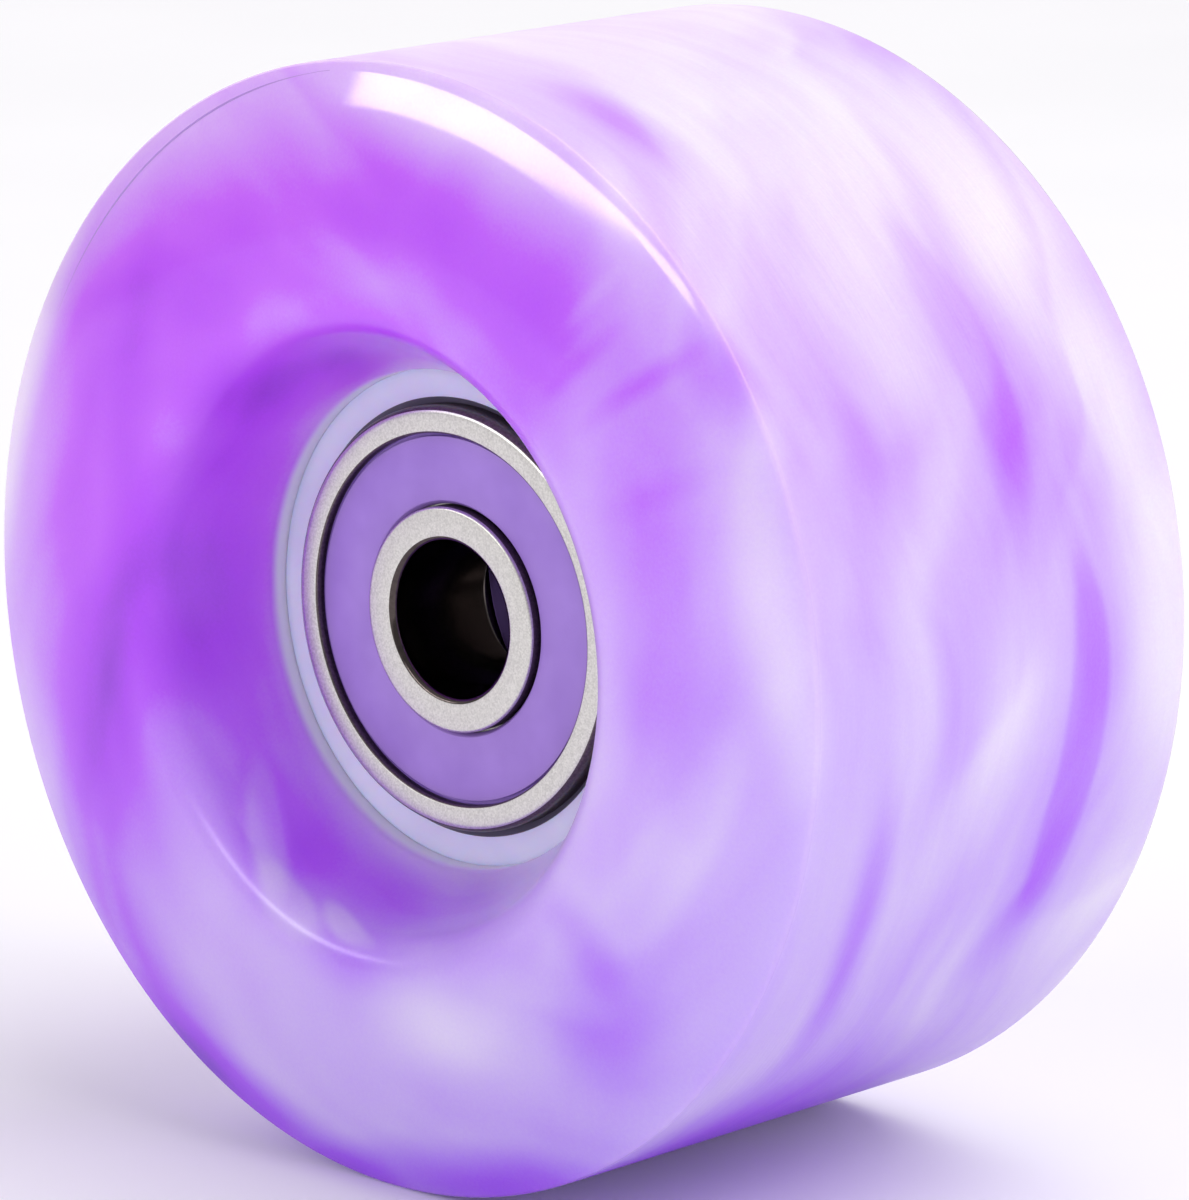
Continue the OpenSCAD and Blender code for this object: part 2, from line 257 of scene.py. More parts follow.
# pours: angle round the axle, radius, place along the axle; size outwards, along and around; strength;
# the share of the size in which it fades, if not all; lean across the turn, in degrees
pours = [
    {"at": (115, 21.5, -15), "size": (10, 8, 20), "violet": 0.27},  # front, upper left
    {"at": (92, 21.5, -15), "size": (7, 7, 14), "violet": 0.16},
    {"at": (145, 21, -15), "size": (9, 8, 18), "violet": 0.21},
    {"at": (172, 20.5, -15), "size": (8, 8, 18), "violet": 0.18},
    {"at": (200, 20, -15), "size": (7, 8, 16), "violet": 0.18},
    {"at": (160, 28.5, -13), "size": (3, 4, 34), "violet": -0.22},  # pale outer rim: partly the resin's tone, partly a painted rim highlight
    {"at": (76, 27, -14), "size": (4, 4, 14), "violet": -0.12},
    {"at": (64, 22, -15), "size": (7, 7, 13), "violet": 0.20},  # front, right of the recess
    {"at": (38, 22.5, -15), "size": (8, 7, 15), "violet": 0.17},
    {"at": (39.5, 25, -14.8), "size": (6, 3, 1.1), "violet": 0.10},
    {"at": (47, 22.5, -15), "size": (4, 3, 1), "violet": 0.07},
    {"at": (52, 24.5, -15), "size": (3, 3, 0.8), "violet": -0.06},
    {"at": (27, 23.5, -15), "size": (5, 3, 1.4), "violet": 0.05},
    {"at": (8, 21, -15), "size": (6, 5, 12), "violet": 0.14},
    {"at": (-17, 23.4, -15), "size": (6, 5, 9), "violet": -0.08},
    {"at": (10, 27.5, -14), "size": (2.5, 3, 20), "violet": -0.12},
    {"at": (175, 17.2, -15.3), "size": (3, 3, 22), "violet": 0.16},  # over the lip into the recess
    {"at": (-160, 18.5, -15.5), "size": (7, 7, 15), "violet": 0.15},
    {"at": (165, 14.5, -12), "size": (5, 7, 22), "violet": 0.31},  # recess: deeper violet, partly the resin's own colour and partly painted shade
    {"at": (110, 14.5, -12.5), "size": (4, 7, 16), "violet": 0.36},
    {"at": (70, 15.5, -13), "size": (4, 6, 14), "violet": 0.30},
    {"at": (205, 14, -11.5), "size": (5, 7, 20), "violet": 0.30},
    {"at": (132, 14.2, -11.5), "size": (4, 5, 12), "violet": 0.14},
    {"at": (245, 14, -11.5), "size": (3, 4, 12), "violet": 0.24},
    {"at": (280, 14.5, -12), "size": (4, 5, 12), "violet": 0.14},
    {"at": (-118, 15.3, -14.5), "size": (4, 4, 10), "violet": 0.16},
    {"at": (-130, 15, -13.8), "size": (2.5, 1.3, 6), "violet": -0.12, "edge": 0.5, "lean": 24},  # pale flames
    {"at": (-113, 15.9, -15.3), "size": (2, 1.2, 4.5), "violet": -0.11, "edge": 0.5, "lean": 10},
    {"at": (-97, 15.7, -15), "size": (1.5, 0.8, 4.5), "violet": -0.14, "edge": 0.5, "lean": 17},
    {"at": (-156, 24, -14.5), "size": (5, 5, 12), "violet": 0.20},  # front, below
    {"at": (-80, 20.5, -15.5), "size": (5, 6, 14), "violet": -0.10},
    {"at": (-71, 20, -16), "size": (3.5, 4, 8), "violet": -0.12},
    {"at": (-90, 17, -15.9), "size": (2.4, 2.5, 5), "violet": 0.12},
    # the next three pours deepen the violet along the lower rim: partly the resin's own colour, partly
    # painted shade
    {"at": (-128, 26.5, -14), "size": (5, 5, 15), "violet": 0.25},
    {"at": (-112, 28, -13.5), "size": (3.5, 5, 18), "violet": 0.36},
    {"at": (-80, 28.2, -13.5), "size": (3, 5, 16), "violet": 0.28},
    {"at": (-41, 20, -15.5), "size": (5, 4, 2.4), "violet": 0.12},
    {"at": (-46, 24, -14.8), "size": (5, 4, 6), "violet": 0.14},
    {"at": (88, 29, 2), "size": (9, 20, 36), "violet": -0.14},  # tread, top
    {"at": (68, 29, -8.5), "size": (4, 3, 7), "violet": 0.20},
    {"at": (55, 29, 2), "size": (9, 18, 18), "violet": -0.12},
    {"at": (48, 29, 11), "size": (6, 9, 26), "violet": -0.18},
    {"at": (30, 29, 2.9), "size": (5, 5, 14), "violet": 0.06},  # tread, right
    {"at": (33, 29, 2.4), "size": (4, 2.2, 10), "violet": 0.07, "edge": 0.4},
    {"at": (27, 29, -7), "size": (5, 5, 10), "violet": 0.09},
    {"at": (26, 29, -7.5), "size": (4, 2, 4), "violet": 0.08},
    {"at": (36, 28.5, -13.5), "size": (3, 2, 5), "violet": 0.18},
    {"at": (19, 29, 2.6), "size": (4, 2.5, 7), "violet": 0.07},
    {"at": (-6, 29, 6), "size": (5, 3.5, 13), "violet": 0.09},
    {"at": (-9, 29, 6), "size": (4, 1.9, 13), "violet": 0.11, "edge": 0.35},
    {"at": (-24, 29, 5), "size": (4, 4, 12), "violet": 0.12},
    {"at": (-27, 29, -8.3), "size": (4, 2.2, 15), "violet": 0.20, "lean": 5},
    {"at": (-2, 29, -0.5), "size": (4, 4, 9), "violet": -0.12},
    {"at": (10, 29, 13), "size": (5, 6, 34), "violet": -0.28},
    {"at": (-30, 29, 13), "size": (5, 6, 20), "violet": -0.18},
    # deeper violet low on the tread: partly the resin's own colour, partly painted shade
    {"at": (-66, 29, -4), "size": (6, 16, 18), "violet": 0.45},
    {"at": (40, 22, 15), "size": (9, 9, 22), "violet": 0.36},  # rear
    {"at": (110, 24, 15), "size": (7, 8, 20), "violet": -0.20},
    {"at": (205, 21, 15), "size": (9, 9, 24), "violet": 0.40},
    {"at": (290, 19, 15), "size": (6, 7, 16), "violet": -0.25},
    {"at": (190, 29, 3), "size": (5, 12, 20), "violet": 0.25},
    {"at": (240, 29, -3), "size": (5, 10, 16), "violet": -0.25},
]


def fromHubEdge(tree, here):  # mm from the line where the urethane ends on the hub's face
    axes = addNode(tree, "SeparateXYZ", {}, {0: here})
    aside = addNode(tree, "Math", {"operation": "ABSOLUTE"}, {0: axes.outputs["Y"]})
    section = addNode(tree, "CombineXYZ", {}, {0: fromAxle(tree, here), 1: aside})
    edge = (lapRadius, hubFace, 0)
    return addNode(tree, "VectorMath", {"operation": "DISTANCE", 1: edge}, {0: section}).outputs["Value"]


def stirred(tree, still):  # where the eddies carry a point, large ones first
    here = still
    for size, reach in (("swirlMm", "swirlReachMm"), ("eddyMm", "eddyReachMm")):
        eddy = addNode(tree, "TexNoise", {"Scale": 1 / urethane[size], "Detail": 0}, {"Vector": here})
        drift = addNode(tree, "VectorMath", {"operation": "SUBTRACT", 1: (0.5, 0.5, 0.5)},
                        {0: eddy.outputs["Color"]})
        here = addNode(tree, "VectorMath", {"operation": "MULTIPLY_ADD", 1: (2 * urethane[reach],) * 3},
                       {0: drift, 2: here})
    return here


def drawnOut(tree, here):  # shear that turns a cloud into a streak round the axle
    axes = addNode(tree, "SeparateXYZ", {}, {0: here})
    turn = addNode(tree, "Math", {"operation": "MULTIPLY", 1: math.radians(urethane["twistOutDeg"])},
                   {0: fromAxle(tree, here)})
    turn = addNode(tree, "Math", {"operation": "MULTIPLY_ADD", 1: math.radians(urethane["twistAlongDeg"])},
                   {0: axes.outputs["Y"], 2: turn})
    return addNode(tree, "VectorRotate", {"rotation_type": "Y_AXIS"}, {"Vector": here, "Angle": turn})


def stirredMix(tree, still, here):  # how violet the resin is before the pours
    drawn = drawnOut(tree, here)
    streak = addNode(tree, "TexNoise", {"Scale": 1 / urethane["streakMm"], "Detail": 2, "Roughness": 0.45},
                     {"Vector": drawn})
    thread = addNode(tree, "TexNoise",
                     {"noise_type": "RIDGED_MULTIFRACTAL", "Scale": 1 / urethane["threadMm"], "Detail": 1,
                      "Roughness": 0.4}, {"Vector": drawn})
    lap = addNode(tree, "TexNoise", {"Scale": 1 / urethane["foldMm"], "Detail": 1, "Roughness": 0.4},
                  {"Vector": drawn})
    lap = addNode(tree, "Math", {"operation": "MULTIPLY", 1: urethane["folds"]}, {0: lap})
    lap = addNode(tree, "Math", {"operation": "FRACT"}, {0: lap})
    fold = addNode(tree, "ValToRGB", {}, {"Fac": lap})
    fold.color_ramp.interpolation = "EASE"
    setRamp(fold, urethane["foldStops"])
    spread = addNode(tree, "VectorMath", {"operation": "DIVIDE", 1: urethane["brushMm"]}, {0: here})
    brush = addNode(tree, "TexNoise", {"Scale": 1, "Detail": 2}, {"Vector": spread})
    shares = sum(urethane[share] for share in ("streakShare", "threadShare", "foldShare", "brushShare"))
    mix = addNode(tree, "Math", {"operation": "MULTIPLY_ADD", 1: urethane["streakShare"],
                                 2: urethane["level"] - shares / 2}, {0: streak})
    for part, share in ((thread, "threadShare"), (fold, "foldShare"), (brush, "brushShare")):
        mix = addNode(tree, "Math", {"operation": "MULTIPLY_ADD", 1: urethane[share]}, {0: part, 2: mix})
    speck = addNode(tree, "TexNoise", {"Scale": 1 / urethane["speckMm"], "Detail": 1}, {"Vector": still})
    speck = addNode(tree, "Math", {"operation": "SUBTRACT", 1: 0.5}, {0: speck})
    return addNode(tree, "Math", {"operation": "MULTIPLY_ADD", 1: urethane["speckShare"]}, {0: speck, 2: mix})


def addPours(tree, still, here, mix):  # each pour makes the resin more or less violet round its place
    carried = addNode(tree, "VectorMath", {"operation": "SUBTRACT"}, {0: here, 1: still})
    poured = addNode(tree, "VectorMath", {"operation": "MULTIPLY_ADD", 1: (urethane["pourDrift"],) * 3},
                     {0: carried, 2: still})
    for pour in pours:
        degrees, radius, along = pour["at"]
        angle = math.radians(degrees)
        local = addNode(tree, "Mapping",
                        {"vector_type": "TEXTURE",
                         "Location": (radius * math.cos(angle), along, radius * math.sin(angle)),
                         "Rotation": (math.radians(pour.get("lean", 0)), -angle, 0), "Scale": pour["size"]},
                        {"Vector": poured})
        near = addNode(tree, "TexGradient", {"gradient_type": "SPHERICAL"}, {"Vector": local})
        cloud = addNode(tree, "MapRange",
                        {"interpolation_type": "SMOOTHSTEP", "From Max": pour.get("edge", 1),
                         "To Max": pour["violet"]}, {"Value": near.outputs["Fac"]})
        mix = addNode(tree, "Math", {"operation": "ADD"}, {0: cloud, 1: mix})
    return mix


def batchTintAndPaintedShade(tree, here, colour):  # the batches differ a little in hue, and the colour is darkened towards the bottom as painted shade
    batch = addNode(tree, "VectorMath", {"operation": "DOT_PRODUCT", 1: urethane["hueWay"]}, {0: here})
    hue = addNode(tree, "MapRange",
                  {"From Min": -urethane["hueReachMm"], "From Max": urethane["hueReachMm"],
                   "To Min": urethane["hueMiddle"] - urethane["hueShift"],
                   "To Max": urethane["hueMiddle"] + urethane["hueShift"]}, {"Value": batch.outputs["Value"]})
    tinted = addNode(tree, "HueSaturation", {}, {"Hue": hue, "Color": colour})
    # painted shade: mixes in the darker colour towards the bottom of the wheel
    height = addNode(tree, "SeparateXYZ", {}, {0: here})
    shadeStart, shadeEnd = urethane["shadeReachMm"]
    share = addNode(tree, "MapRange", {"From Min": shadeStart, "From Max": shadeEnd},
                    {"Value": height.outputs["Z"]})
    return addNode(tree, "MixRGB", {"blend_type": "MULTIPLY", "Color2": linear(urethane["shade"])},
                   {"Fac": share, "Color1": tinted})


def thinOverHub(tree, still, colour):
    fadeStart, fadeEnd = urethane["lapFadeMm"]
    thickness = addNode(tree, "MapRange",
                        {"interpolation_type": "SMOOTHSTEP", "From Min": fadeStart, "From Max": fadeEnd},
                        {"Value": fromHubEdge(tree, still)})
    return addNode(tree, "MixRGB", {"Color1": linear(urethane["lapColour"])},
                   {"Fac": thickness, "Color2": colour})


def marbledColour(tree):
    still = placeInMm(tree)
    here = stirred(tree, still)
    mix = addPours(tree, still, here, stirredMix(tree, still, here))
    deepest = urethane["stops"][-1][0]
    depth = addNode(tree, "Math", {"operation": "DIVIDE", 1: deepest}, {0: mix})  # a ramp ends at 1
    ramp = addNode(tree, "ValToRGB", {}, {"Fac": depth})
    setRamp(ramp, [(place / deepest, hexText) for place, hexText in urethane["stops"]])
    return thinOverHub(tree, still, batchTintAndPaintedShade(tree, here, ramp))


def castUrethane(name, roughness, recessRoughness, bumpMm, stretch, bump):
    material, tree = newMaterial(name)
    here = placeInMm(tree)
    stretched = addNode(tree, "VectorMath", {"operation": "MULTIPLY", 1: stretch}, {0: here})
    grain = addNode(tree, "TexNoise", {"Scale": 1 / bumpMm, "Detail": 3}, {"Vector": stretched})
    relief = addNode(tree, "Bump", {"Strength": bump, "Distance": reliefMm["cast"] * mm}, {"Height": grain})
    coreRadius, mouldRadius = urethane["dullRadiusMm"]
    dull = addNode(tree, "MapRange",
                   {"interpolation_type": "SMOOTHSTEP", "From Min": coreRadius, "From Max": mouldRadius,
                    "To Min": recessRoughness - roughness[0], "To Max": 0},
                   {"Value": fromAxle(tree, here)})
    gloss = addNode(tree, "MapRange", {"To Min": roughness[0], "To Max": roughness[1]}, {"Value": grain})
    gloss = addNode(tree, "Math", {"operation": "ADD"}, {0: dull, 1: gloss})
    shader = addNode(tree, "BsdfPrincipled",
                     {"IOR": urethane["ior"], "Subsurface Weight": glowShare,
                      "Subsurface Scale": urethane["glowMm"] * mm,
                      "Subsurface Radius": urethane["glowSpread"]},
                     {"Base Color": marbledColour(tree), "Roughness": gloss, "Normal": relief})
    addNode(tree, "OutputMaterial", {}, {"Surface": shader})
    return material


def groundSteel(name, colours, roughness, spacingMm, bump):  # grooves run round the axle
    material, tree = newMaterial(name)
    here = placeInMm(tree)
    axes = addNode(tree, "SeparateXYZ", {}, {0: here})
    across = addNode(tree, "CombineXYZ", {}, {0: fromAxle(tree, here), 1: axes.outputs["Y"]})
    grooves = addNode(tree, "TexNoise", {"Scale": 1 / spacingMm, "Detail": 2, "Roughness": 0.7},
                      {"Vector": across})
    relief = addNode(tree, "Bump", {"Strength": bump, "Distance": reliefMm["turned"] * mm},
                     {"Height": grooves})
    grit = addNode(tree, "TexNoise", {"Scale": 1 / spacingMm, "Detail": 2}, {"Vector": here})
    gloss = addNode(tree, "MapRange", {"To Min": roughness[0], "To Max": roughness[1]}, {"Value": grooves})
    shader = addNode(tree, "BsdfPrincipled", {"Metallic": 1},
                     {"Base Color": twoTone(tree, grit, colours), "Roughness": gloss, "Normal": relief})
    addNode(tree, "OutputMaterial", {}, {"Surface": shader})
    return material


def moulded(name, colours, roughness, grainMm, bump, ior, glowMm=0):  # fine grain, with faint patches of tone
    material, tree = newMaterial(name)
    here = placeInMm(tree)
    grain = addNode(tree, "TexNoise", {"Scale": 1 / grainMm, "Detail": 3}, {"Vector": here})
    cloud = addNode(tree, "TexNoise", {"Scale": 1 / (cloudGrains * grainMm), "Detail": 2}, {"Vector": here})
    gloss = addNode(tree, "MapRange", {"To Min": roughness[0], "To Max": roughness[1]}, {"Value": cloud})
    relief = addNode(tree, "Bump", {"Strength": bump, "Distance": reliefMm["moulded"] * mm},
                     {"Height": grain})
    shader = addNode(tree, "BsdfPrincipled",
                     {"IOR": ior, "Subsurface Weight": glowShare if glowMm else 0,
                      "Subsurface Scale": glowMm * mm},
                     {"Base Color": twoTone(tree, cloud, colours), "Roughness": gloss, "Normal": relief})
    addNode(tree, "OutputMaterial", {}, {"Surface": shader})
    return material


# off a polished mould: wet gloss
mouldedUrethane = castUrethane("castUrethaneMoulded", roughness=(0.07, 0.12), recessRoughness=0.22, bumpMm=5,
                               stretch=(1, 1, 1), bump=0.05)
# off a grinding belt: satin, with fine rings
groundUrethane = castUrethane("castUrethaneGround", roughness=(0.38, 0.52), recessRoughness=0.45, bumpMm=0.5,
                              stretch=(0.1, 1.6, 0.1), bump=0.25)
# fresh cut: a dull hairline, darkened as painted shade in its fine groove
trimShadeUrethane = moulded("urethaneKnifeCutShade", ("#b08ad6", "#bb96df"), roughness=(0.5, 0.6), grainMm=0.2, bump=0.3,
                      ior=1.5)
# off a matt mould: dull, faintly waxy
hubNylon = moulded("nylonMoulded", ("#d3cdee", "#dcd7f4"), roughness=(0.45, 0.55), grainMm=0.25, bump=0.25,
                   ior=1.53, glowMm=0.8)
# painted shade: a dark line round the bearing, where the seat and its chamfer lie in shadow
seatShadeNylon = moulded("nylonSeatShade", ("#6e6780", "#7d768f"), roughness=(0.3, 0.4), grainMm=0.25, bump=0.2,
                    ior=1.53)
# soft satin, one even violet
sealRubber = moulded("nitrileRubberMoulded", ("#9875ca", "#a381d4"), roughness=(0.38, 0.48), grainMm=0.15,
                     bump=0.3, ior=1.52)
# dull dark grey
cageNylon = moulded("glassFilledNylonMoulded", ("#2c2c31", "#3a3a40"), roughness=(0.45, 0.6), grainMm=0.2,
                    bump=0.4, ior=1.53)
# bright satin rings with a sparkle of grit, drawn coarser than the real grit
ringSteel = groundSteel("bearingSteelGround", ("#c9c7c2", "#e4e2dd"), roughness=(0.28, 0.42), spacingMm=0.1,
                        bump=0.12)
# dull brown-grey: painted shade on the rings' walls and rounds
wallShadeSteel = groundSteel("bearingSteelWallShade", ("#5f5556", "#746a6b"), roughness=(0.32, 0.42), spacingMm=0.15,
                        bump=0.3)
# honed smooth; nearly black, as painted shade in the bore
boreShadeSteel = groundSteel("bearingSteelHonedBoreShade", ("#4d4644", "#5b5250"), roughness=(0.14, 0.2), spacingMm=0.3,
                        bump=0.05)
# mirror bright
ballSteel = groundSteel("chromeSteelPolished", ("#d4d6d9", "#e0e2e5"), roughness=(0.04, 0.08), spacingMm=0.4,
                        bump=0.02)
# cool, even grey
plateSteel = groundSteel("zincPlatedSheet", ("#b4b8bf", "#c6cad0"), roughness=(0.3, 0.4), spacingMm=0.3,
                         bump=0.2)
print("materials mixed")

# Hub: one moulding with a seat for a bearing on each side and teeth that the urethane grips
hub = {
    "wall": 1.4, "collar": 1.2, "ringWidth": 2.4,  # round the bearing, and the ring that shows in the recess
    "edgeRound": 0.7, "edgeSteps": 8,
    "seatLead": 0.35, "seatLean": 0.8,  # chamfer that leads the bearing in, darkened with painted shade like the seat
    "ledge": 1.1,  # stops the bearing
    "keyReach": 4.1, "keyWidth": 5, "keys": 8,
    "gapWidth": 5, "gapDepth": 2.6, "gapSpare": 1,  # between the teeth, and how far the cut overshoots
    "creaseDeg": 30, "turns": 160,
}
waistRadius = bearingRadius + hub["wall"]
hubRadius = waistRadius + hub["collar"]
keyRadius = waistRadius + hub["keyReach"]


def makeHub():
    ledgeRadius = bearingRadius - hub["ledge"]
    edge = (hubRadius - hub["edgeRound"], hubFace - hub["edgeRound"])
    points = [(ledgeRadius, 0), (ledgeRadius, bearingBack), (bearingRadius, bearingBack),
              (bearingRadius, hubFace - hub["seatLead"]), (bearingRadius + hub["seatLead"], hubFace)]
    points += arc(edge, hub["edgeRound"], 90, 0, hub["edgeSteps"])
    points += [(hubRadius, hubFace - hub["ringWidth"]), (waistRadius, hubFace - hub["ringWidth"]),
               (waistRadius, hub["keyWidth"] / 2), (keyRadius, hub["keyWidth"] / 2), (keyRadius, 0)]
    piece = turnOnLathe("hub_core", points, hub["turns"])
    mirrorAcross(piece)
    cutter = makeKeyGaps()
    applyModifier(piece, "BOOLEAN", operation="DIFFERENCE", object=cutter, solver="EXACT")
    bpy.data.objects.remove(cutter)
    smoothPiece(piece, hub["creaseDeg"])
    return piece


def makeKeyGaps():  # blocks that leave the teeth standing
    bpy.ops.object.select_all(action="DESELECT")
    spare = hub["gapSpare"]
    depth = hub["gapDepth"] + spare
    middle = (keyRadius - hub["gapDepth"] + depth / 2) * mm
    size = (depth * mm, (hub["keyWidth"] + 2 * spare) * mm, hub["gapWidth"] * mm)
    for i in range(hub["keys"]):
        angle = math.tau * i / hub["keys"]
        place = (middle * math.cos(angle), 0, middle * math.sin(angle))
        bpy.ops.mesh.primitive_cube_add(size=1, location=place, rotation=(0, -angle, 0), scale=size)
        if i == 0:
            blocks = bpy.context.object
            bpy.ops.object.transform_apply(location=True, rotation=True, scale=True)
            bpy.ops.object.mode_set(mode="EDIT")  # the other blocks join this mesh
    bpy.ops.object.mode_set(mode="OBJECT")
    return blocks


hubPiece = makeHub()
fitPiece(hubPiece, hubNylon, "wheel", "hub_nylon", "hub")
# the seat and its chamfer get a darker colour: painted shade between the hub and the bearing
finishWalls(hubPiece, seatShadeNylon, 0, bearingRadius + hub["seatLead"], hub["seatLean"])
print("hub moulded")

# Tyre: urethane cast round the hub, its tread ground square afterwards
tyre = {
    "width": 32, "treadWidth": 27.7, "treadEdge": 0.35,
    "crestRadius": 18.5,  # where the sidewall stands furthest out along the axle
    "lipRound": 2.6, "recessDraft": 26.5,
    "lapThickness": 1, "lapRound": 1.5,
    "lapSteps": 4, "lipSteps": 20, "sideSteps": 24, "edgeSteps": 6, "treadSteps": 6,
    "creaseDeg": 18, "turns": 192,
}
# Trim line: a knife took the flash off one side of the front rim, and its fine cut drifts inwards on its way
trim = {
    "angles": (98, 150), "radii": (28.5, 27.25),  # at its start and end
    "halfWidth": 0.07, "depth": 0.06,
    "fadeDeg": 16, "thinnest": 0.2,  # it starts and ends gently, down to this share of its width
    "rings": 2,  # spare rings of points on each side of the cut, to be slid into place
    "ringSlack": 0.02,  # a point this share of the half width off a ring is still on it
    "clearRadius": 26.9,  # the sidewall's other points stay inside this radius
}


def sidewallArc():  # centre and radius of the arc from the crest to the tread's corner
    halfWidth = tyre["width"] / 2
    rise = halfWidth - tyre["treadWidth"] / 2
    run = treadRadius - tyre["crestRadius"]
    radius = (run ** 2 + rise ** 2) / (2 * rise)
    return Vector((tyre["crestRadius"], halfWidth - radius)), radius


sideCentre, sideRadius = sidewallArc()


def sideHeight(outwards):  # place along the axle of the sidewall at this radius
    return sideCentre.y + math.sqrt(sideRadius ** 2 - (outwards - sideCentre.x) ** 2)


def trimRadius(degrees):  # drifts inwards along the cut, and back outwards on the rest of the turn
    start, end = trim["angles"]
    outer, inner = trim["radii"]
    turned = (degrees - start) % 360
    share = min(turned / (end - start), (360 - turned) / (360 - end + start))
    return outer + (inner - outer) * share


def trimStrength(degrees):
    start, end = trim["angles"]
    return max(0, min(1, (degrees - start) / trim["fadeDeg"], (end - degrees) / trim["fadeDeg"]))


def trimHalfWidth(degrees):
    return trim["halfWidth"] * max(trimStrength(degrees), trim["thinnest"])


def cutTrimLine(piece):  # slides the spare rings of points along the front sidewall
    start = trim["radii"][0]
    for vertex in piece.data.vertices:
        outwards = radiusOf(vertex.co)
        ring = round((outwards - start) / trim["halfWidth"])
        offRing = abs(outwards - start - ring * trim["halfWidth"])
        onRing = abs(ring) <= trim["rings"] and offRing < trim["halfWidth"] * trim["ringSlack"]
        if vertex.co.y < 0 and onRing:
            degrees = turnOf(vertex.co)
            moved = trimRadius(degrees) + ring * trimHalfWidth(degrees)
            depth = 0 if ring else trim["depth"] * trimStrength(degrees)
            height = sideHeight(moved) - depth
            vertex.co = (vertex.co.x * moved / outwards, -height * mm, vertex.co.z * moved / outwards)


def isTrimLine(face):
    degrees = turnOf(face.center)
    aside = abs(radiusOf(face.center) - trimRadius(degrees))
    return face.center.y < 0 and trimStrength(degrees) > 0 and aside < trimHalfWidth(degrees)


def tyreOutline():  # half of it, from the hub over the lip to the middle of the tread
    edge = tyre["treadEdge"]
    edgeOut = treadRadius - edge - sideCentre.x
    edgeCentre = sideCentre + Vector((edgeOut, math.sqrt((sideRadius - edge) ** 2 - edgeOut ** 2)))
    edgeTop = angleOf(edgeCentre - sideCentre)  # where the sidewall's arc meets the round on the tread's edge
    draft = math.radians(tyre["recessDraft"])
    along = Vector((math.sin(draft), math.cos(draft)))  # up the recess wall
    into = Vector((math.cos(draft), -math.sin(draft)))  # from the wall into the urethane
    foot = Vector((lapRadius, hubFace + tyre["lapThickness"]))  # where the recess wall ends
    lip = tyre["lipRound"]
    start = foot + lip * into - sideCentre
    climb = -start.dot(along) + math.sqrt(start.dot(along) ** 2 - start.dot(start) + (sideRadius - lip) ** 2)
    lipCentre = foot + lip * into + climb * along
    lipTop = angleOf(lipCentre - sideCentre)  # where the lip's round meets the sidewall's arc
    lap = tyre["lapRound"]
    lapCentre = (foot.x + lap, foot.y - lap * math.tan(draft / 2))
    clearRadius = trim["clearRadius"]
    clear = angleOf((clearRadius - sideCentre.x, sideHeight(clearRadius) - sideCentre.y))
    inside = bearingRadius + hub["wall"] / 2
    buried = hubFace - hub["edgeRound"]  # the lap goes on into the hub, which is cut away later
    points = [(inside, 0), (inside, buried), (foot.x, buried)]
    points += arc(lapCentre, lap, 180, 180 - tyre["recessDraft"], tyre["lapSteps"])
    points += arc(lipCentre, lip, 180 - tyre["recessDraft"], lipTop, tyre["lipSteps"])
    points += arc(sideCentre, sideRadius, lipTop, clear, tyre["sideSteps"])[1:]
    for ring in range(-trim["rings"], trim["rings"] + 1):
        outwards = trim["radii"][0] + ring * trim["halfWidth"]
        points.append((outwards, sideHeight(outwards)))
    points += arc(edgeCentre, edge, edgeTop, 0, tyre["edgeSteps"])
    steps = tyre["treadSteps"]
    points += [(treadRadius, edgeCentre.y * step / steps) for step in reversed(range(steps))]
    return points


def makeTyre():
    piece = turnOnLathe("tyre_cast", tyreOutline(), tyre["turns"])
    mirrorAcross(piece)
    cutTrimLine(piece)
    applyModifier(piece, "BOOLEAN", operation="DIFFERENCE", object=hubPiece, solver="EXACT")
    turnOutwards(piece)  # the cut leaves doubled points along the hub's edge
    smoothPiece(piece, tyre["creaseDeg"])
    return piece


tyrePiece = makeTyre()
fitPiece(tyrePiece, mouldedUrethane, "wheel", "urethane", "tyre")
finishWalls(tyrePiece, groundUrethane, treadRadius - tyre["treadEdge"], treadRadius, uprightLean)  # the tread
# the trim line's faces get a darker colour: painted shade in the cut
finishFaces(tyrePiece, trimShadeUrethane, isTrimLine)
print("tyre cast and ground")

# Bearings: two rings with a ball track, and a rubber seal on each side
bearing = {
    "bore": 8, "ringRound": 0.44, "faceRound": 0.16,
    "cageThickness": 2.45, "cageRoom": 0.25, "lipLandStep": 0.2, "outerRing": 1.4,
    "trackEase": 0.08, "trackPlay": 0.03,
    "wallLean": 0.92, "boreLean": 0.95,  # how far up its rounds a wall keeps its painted shade
    "wallMargin": 0.1,  # the band of painted shade starts this far inside the wall
    "trackSteps": 10, "ringSteps": 6, "faceSteps": 4, "creaseDeg": 30, "turns": 160,
}
seal = {
    "lipGap": 0.08, "lipSlope": (0.2, 0.28), "rimThickness": 0.3,
    "grooveWidth": 0.2, "grooveFloor": 0.1,  # the rubber thins here, so that the rim can snap into the ring
    "edgeRound": 0.04, "roundSteps": 2, "roundFromDeg": 30, "creaseDeg": 40,
}
pitchRadius = bearing["bore"] / 4 + bearingRadius / 2
innerLand = pitchRadius - bearing["cageThickness"] / 2 - bearing["cageRoom"]
outerLand = pitchRadius + bearing["cageThickness"] / 2 + bearing["cageRoom"]
lipLand = innerLand - bearing["lipLandStep"]
sealMouth = bearingRadius - bearing["outerRing"]
sealRimTop = sealBack + seal["rimThickness"]
halfBearing = bearingFace - bearingMiddle
trackRadius = ballRadius + bearing["trackEase"]
trackShift = bearing["trackEase"] - bearing["trackPlay"]
mouthRound = bearing["faceRound"]
edgeRound = bearing["ringRound"]


def turnRing(name, half):  # a bearing ring, the same on both of its sides
    piece = turnOnLathe(name, bothHalves(half, bearingMiddle), bearing["turns"])
    smoothPiece(piece, bearing["creaseDeg"])
    return piece


